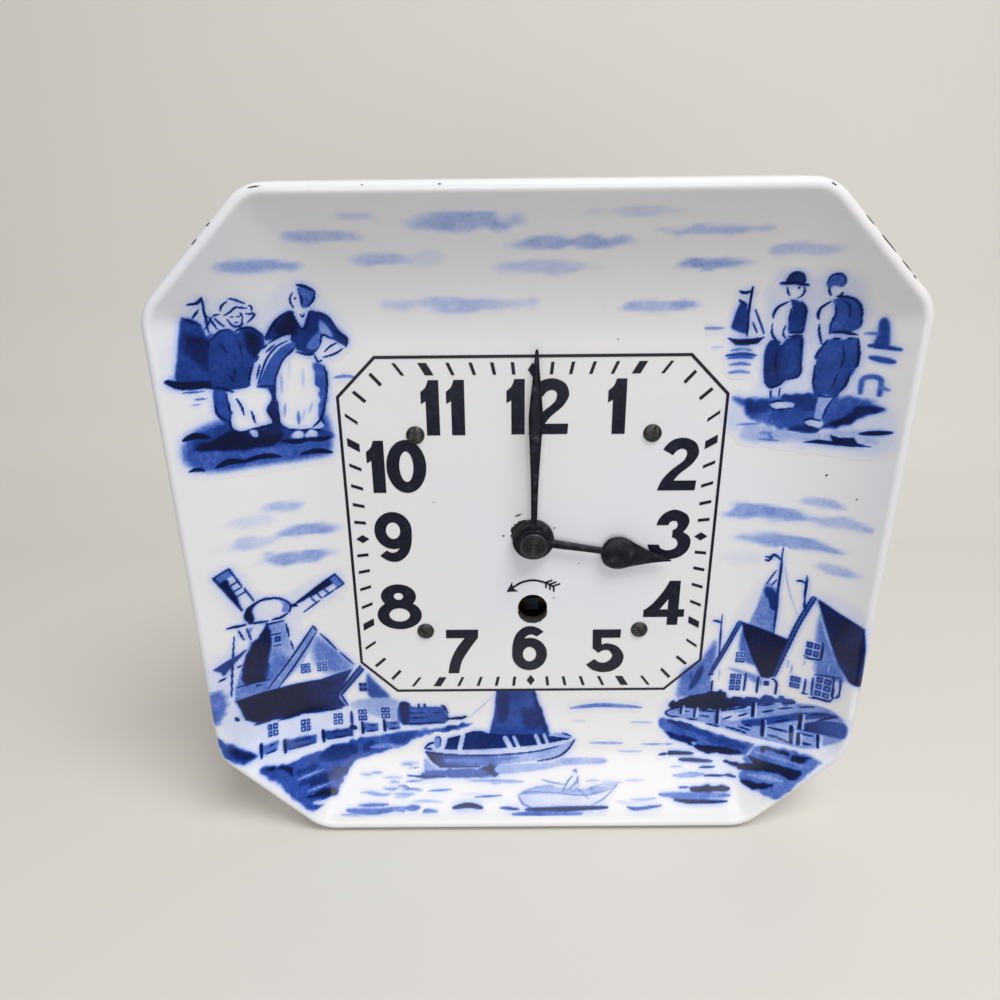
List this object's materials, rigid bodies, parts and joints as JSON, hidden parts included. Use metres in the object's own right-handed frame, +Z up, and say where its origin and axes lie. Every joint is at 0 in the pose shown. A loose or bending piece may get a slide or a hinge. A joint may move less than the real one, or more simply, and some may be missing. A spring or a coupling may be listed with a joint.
{
  "type": "wall plate clock",
  "caption": "Mechanical wall clock: square enamelled plate with cut corners and a hollow border, numeral dial, two hands and a spring movement in a case behind.",
  "frame": {"origin": "centre of the hanger's nail hole, halfway through its strip", "axes": "+Z up, the dial faces -Y, +X to the right for someone who looks at the dial"},
  "size_m": [0.208, 0.0621, 0.208],
  "materials": {
    "enamel": "gloss",
    "screw_steel": "satin",
    "fibre": "matt",
    "tinplate": "satin",
    "hand_black": "satin",
    "brass": "satin",
    "steel": "polished",
    "blued_steel": "polished"
  },
  "bodies": {
    "case": {"dial_plate": "enamel", "dial_screws": "screw_steel", "dial_washers": "fibre", "movement_case": "tinplate", "hanger": "tinplate", "hanger_rivets": "steel", "dial_posts": "brass", "front_plate": "brass", "back_plate": "brass", "plate_pillars": "brass", "pillar_nuts": "steel", "hairspring_stud": "brass", "balance_cups": "steel", "minute_post": "steel", "mainspring": "blued_steel", "hairspring": "blued_steel"},
    "cover": {"back_cover": "tinplate"},
    "minute_train": {"centre_arbor": "steel", "centre_wheel": "brass", "cannon_pinion": "steel", "minute_hand": "hand_black", "hand_nut": "hand_black"},
    "hour_train": {"hour_wheel": "brass", "hour_hand": "hand_black"},
    "motion_train": {"minute_wheel": "brass", "minute_pinion": "steel"},
    "second_train": {"second_arbor": "steel", "second_wheel": "brass"},
    "great_train": {"great_wheel": "brass", "click_screw": "steel", "click_spring": "steel"},
    "winding_arbor": {"winding_arbor": "steel", "ratchet_wheel": "steel"},
    "click": {"click": "steel"},
    "third_train": {"third_arbor": "steel", "third_wheel": "brass"},
    "fourth_train": {"fourth_arbor": "steel", "fourth_wheel": "brass"},
    "escape_train": {"escape_arbor": "steel", "escape_wheel": "brass"},
    "lever": {"pallet_arbor": "steel", "pallet_lever": "brass"},
    "balance": {"balance_staff": "steel", "balance_wheel": "brass", "impulse_roller": "steel"},
    "regulator": {"regulator": "brass"}
  },
  "joints": [
    {"name": "cover_slide", "type": "slide", "parent": "case", "child": "cover", "axis": [0, 1, 0], "range_m": [0, 0.06]},
    {"name": "minute_turn", "type": "hinge", "parent": "case", "child": "minute_train", "pos_m": [0, -0.023, -0.057], "axis": [0, 1, 0], "continuous": true},
    {"name": "hour_turn", "type": "hinge", "parent": "case", "child": "hour_train", "pos_m": [0, -0.023, -0.057], "axis": [0, 1, 0], "continuous": true},
    {"name": "motion_turn", "type": "hinge", "parent": "case", "child": "motion_train", "pos_m": [0.01128, -0.023, -0.0529], "axis": [0, 1, 0], "continuous": true},
    {"name": "second_turn", "type": "hinge", "parent": "case", "child": "second_train", "pos_m": [-0.01167, -0.023, -0.06474], "axis": [0, 1, 0], "continuous": true},
    {"name": "great_turn", "type": "hinge", "parent": "case", "child": "great_train", "pos_m": [0, -0.023, -0.0822], "axis": [0, 1, 0], "continuous": true},
    {"name": "third_turn", "type": "hinge", "parent": "case", "child": "third_train", "pos_m": [0.00967, -0.023, -0.04733], "axis": [0, 1, 0], "continuous": true},
    {"name": "fourth_turn", "type": "hinge", "parent": "case", "child": "fourth_train", "pos_m": [0.00285, -0.023, -0.03758], "axis": [0, 1, 0], "continuous": true},
    {"name": "escape_turn", "type": "hinge", "parent": "case", "child": "escape_train", "pos_m": [-0.00646, -0.023, -0.03594], "axis": [0, 1, 0], "continuous": true},
    {"name": "winding_turn", "type": "hinge", "parent": "great_train", "child": "winding_arbor", "pos_m": [0, -0.023, -0.0822], "axis": [0, 1, 0], "range_deg": [-1980, 0], "deforming": ["mainspring"]},
    {"name": "click_lift", "type": "hinge", "parent": "great_train", "child": "click", "pos_m": [-0.0049, -0.023, -0.07169], "axis": [0, 1, 0], "range_deg": [0, 12], "stiffness_Nm_per_rad": 0.005, "springref_deg": -11.46, "deforming": ["click_spring"]},
    {"name": "balance_swing", "type": "hinge", "parent": "case", "child": "balance", "pos_m": [-0.02679, -0.023, -0.0424], "axis": [0, 1, 0], "range_deg": [-150, 150], "stiffness_Nm_per_rad": 0.0005, "deforming": ["hairspring"]},
    {"name": "lever_swing", "type": "hinge", "parent": "case", "child": "lever", "pos_m": [-0.01519, -0.023, -0.03929], "axis": [0, 1, 0], "range_deg": [-4.5, 4.5]},
    {"name": "regulator_shift", "type": "hinge", "parent": "case", "child": "regulator", "pos_m": [-0.02679, -0.023, -0.0424], "axis": [0, 1, 0], "range_deg": [-25, 25]}
  ],
  "couplings": [
    {"joint": "hour_turn", "follows": "minute_turn", "ratio": 0.083333},
    {"joint": "motion_turn", "follows": "minute_turn", "ratio": -0.33333},
    {"joint": "second_turn", "follows": "minute_turn", "ratio": -0.16667},
    {"joint": "great_turn", "follows": "minute_turn", "ratio": 0.027778},
    {"joint": "third_turn", "follows": "minute_turn", "ratio": -8},
    {"joint": "fourth_turn", "follows": "minute_turn", "ratio": 60},
    {"joint": "escape_turn", "follows": "minute_turn", "ratio": -480},
    {"joint": "lever_swing", "follows": "balance_swing", "ratio": -0.03}
  ]
}
